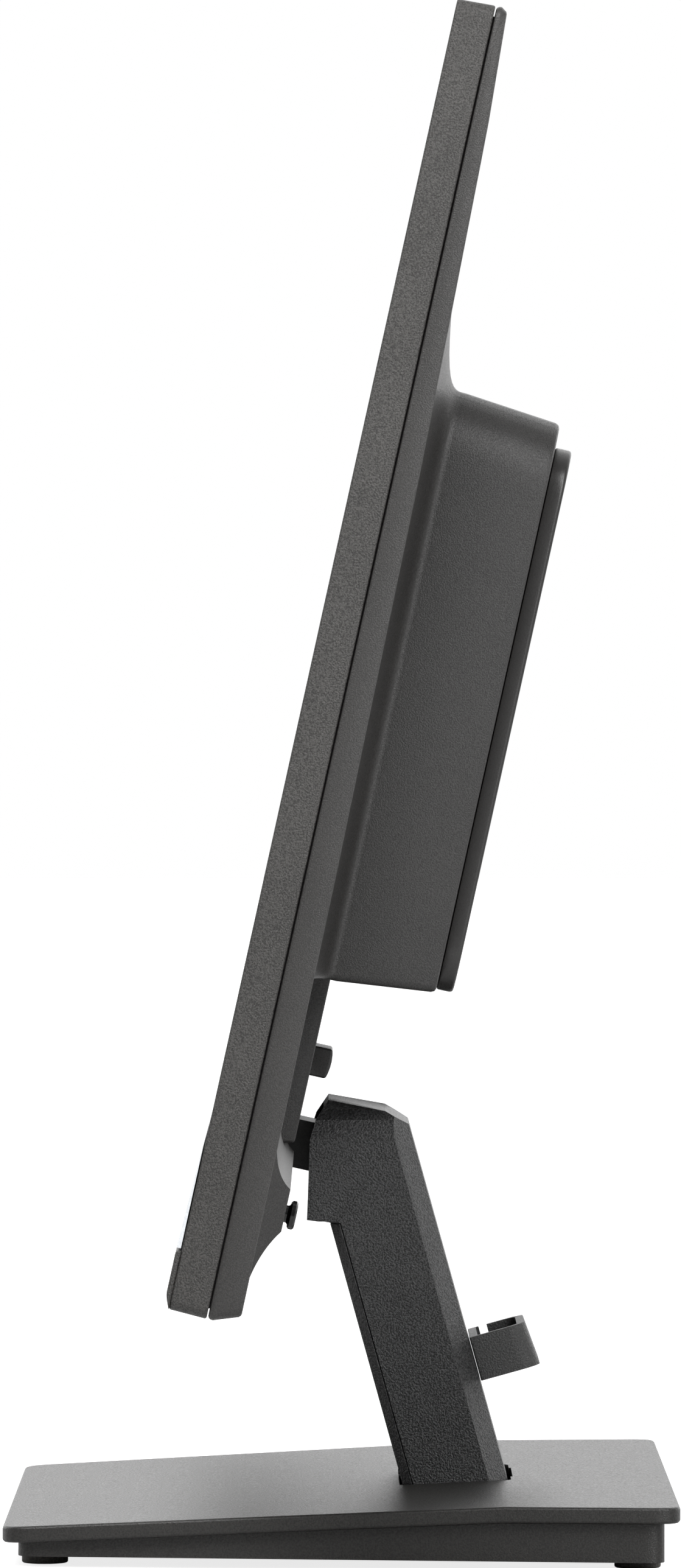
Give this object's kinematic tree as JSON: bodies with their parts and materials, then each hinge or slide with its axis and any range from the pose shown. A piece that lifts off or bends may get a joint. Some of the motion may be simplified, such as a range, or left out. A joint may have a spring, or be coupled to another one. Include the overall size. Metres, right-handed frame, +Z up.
{
  "type": "all-in-one computer",
  "caption": "All-in-one computer: flat screen body with a deep rear computer housing, tilting on a leaning neck above a heavy wedge-shaped base, with a cable clip behind the neck",
  "frame": {"origin": "centre of the base on the surface the computer stands on (centre of the bounding box, at its bottom)", "axes": "+X to the right of someone facing the back, along the screen's width; +Y backwards, away from the screen's front; +Z up"},
  "size_m": [0.541, 0.1746, 0.3946],
  "materials": {
    "grained_plastic": "coarse moulded grain",
    "fine_plastic": "fine moulded grain",
    "satin_plastic": "satin",
    "gloss_black": "polished",
    "black_steel": "black coated",
    "zinc_steel": "zinc plated",
    "cast_steel": "raw plate",
    "rubber": "matte",
    "screen_glass": "anti-glare",
    "white_sheet": "matte white",
    "clear_strip": "clear, pale",
    "circuit_board": "solder mask",
    "copper": "drawn tube",
    "aluminium": "extruded",
    "socket_metal": "plated",
    "dark_plastic": "matte"
  },
  "bodies": {
    "stand": {"base_top_cover": "fine_plastic", "base_tray": "grained_plastic", "base_weight_plate": "cast_steel", "base_screw": "zinc_steel", "foot_front_left": "rubber", "foot_front_right": "rubber", "foot_rear_left": "rubber", "foot_rear_right": "rubber", "neck_front_cover": "grained_plastic", "neck_rear_cover": "grained_plastic", "neck_frame": "zinc_steel", "hinge_washer_right": "zinc_steel", "hinge_washer_left": "zinc_steel", "cable_clip": "grained_plastic"},
    "display": {"front_bezel": "grained_plastic", "front_chin": "satin_plastic", "front_lens_strip": "clear_strip", "screen_panel": "screen_glass", "backlight_unit": "white_sheet", "back_cover": "fine_plastic", "rear_plate": "satin_plastic", "plate_screw_top_left": "black_steel", "plate_screw_top_right": "black_steel", "plate_screw_bottom_left": "black_steel", "plate_screw_bottom_right": "black_steel", "usb_socket_left": "socket_metal", "usb_socket_right": "socket_metal", "video_socket": "socket_metal", "network_socket": "socket_metal", "power_inlet": "dark_plastic", "panel_chassis": "zinc_steel", "hinge_bracket": "black_steel", "hinge_pin": "zinc_steel", "hinge_nut": "zinc_steel", "mainboard": "circuit_board", "processor_heat_sink": "aluminium", "heat_pipe": "copper", "memory_module": "circuit_board", "wireless_card": "socket_metal", "storage_drive": "aluminium", "power_board": "circuit_board", "fan_housing": "dark_plastic", "speaker_left": "dark_plastic", "speaker_right": "dark_plastic", "control_board": "circuit_board"},
    "fan": {"fan_rotor": "dark_plastic"},
    "rocker": {"stick_rocker": "dark_plastic"},
    "cradle": {"stick_cradle": "dark_plastic"},
    "stick": {"control_stick": "gloss_black"},
    "release": {"stand_release_button": "satin_plastic"}
  },
  "joints": [
    {"name": "display_tilt", "type": "hinge", "parent": "stand", "child": "display", "pos_m": [0, 0.004, 0.103], "axis": [1, 0, 0], "range_deg": [-9.5, 17.4]},
    {"name": "fan_spin", "type": "hinge", "parent": "display", "child": "fan", "pos_m": [0.116, 0.0304, 0.25529], "axis": [0, 0.9766, -0.2152], "continuous": true},
    {"name": "stick_up_down", "type": "hinge", "parent": "display", "child": "rocker", "pos_m": [0.205, -0.02223, 0.09875], "axis": [1, 0, 0], "range_deg": [-5, 5], "stiffness_Nm_per_rad": 0.02},
    {"name": "stick_left_right", "type": "hinge", "parent": "rocker", "child": "cradle", "pos_m": [0.205, -0.02223, 0.09875], "axis": [0, 0.2152, 0.9766], "range_deg": [-5, 5], "stiffness_Nm_per_rad": 0.02},
    {"name": "stick_press", "type": "slide", "parent": "cradle", "child": "stick", "axis": [0, -0.9766, 0.2152], "range_m": [0, 0.0005], "stiffness_N_per_m": 1500, "springref_m": -0.0003},
    {"name": "release_press", "type": "slide", "parent": "display", "child": "release", "axis": [0, -0.9766, 0.2152], "range_m": [0, 0.0025], "stiffness_N_per_m": 1200, "springref_m": -0.001}
  ]
}
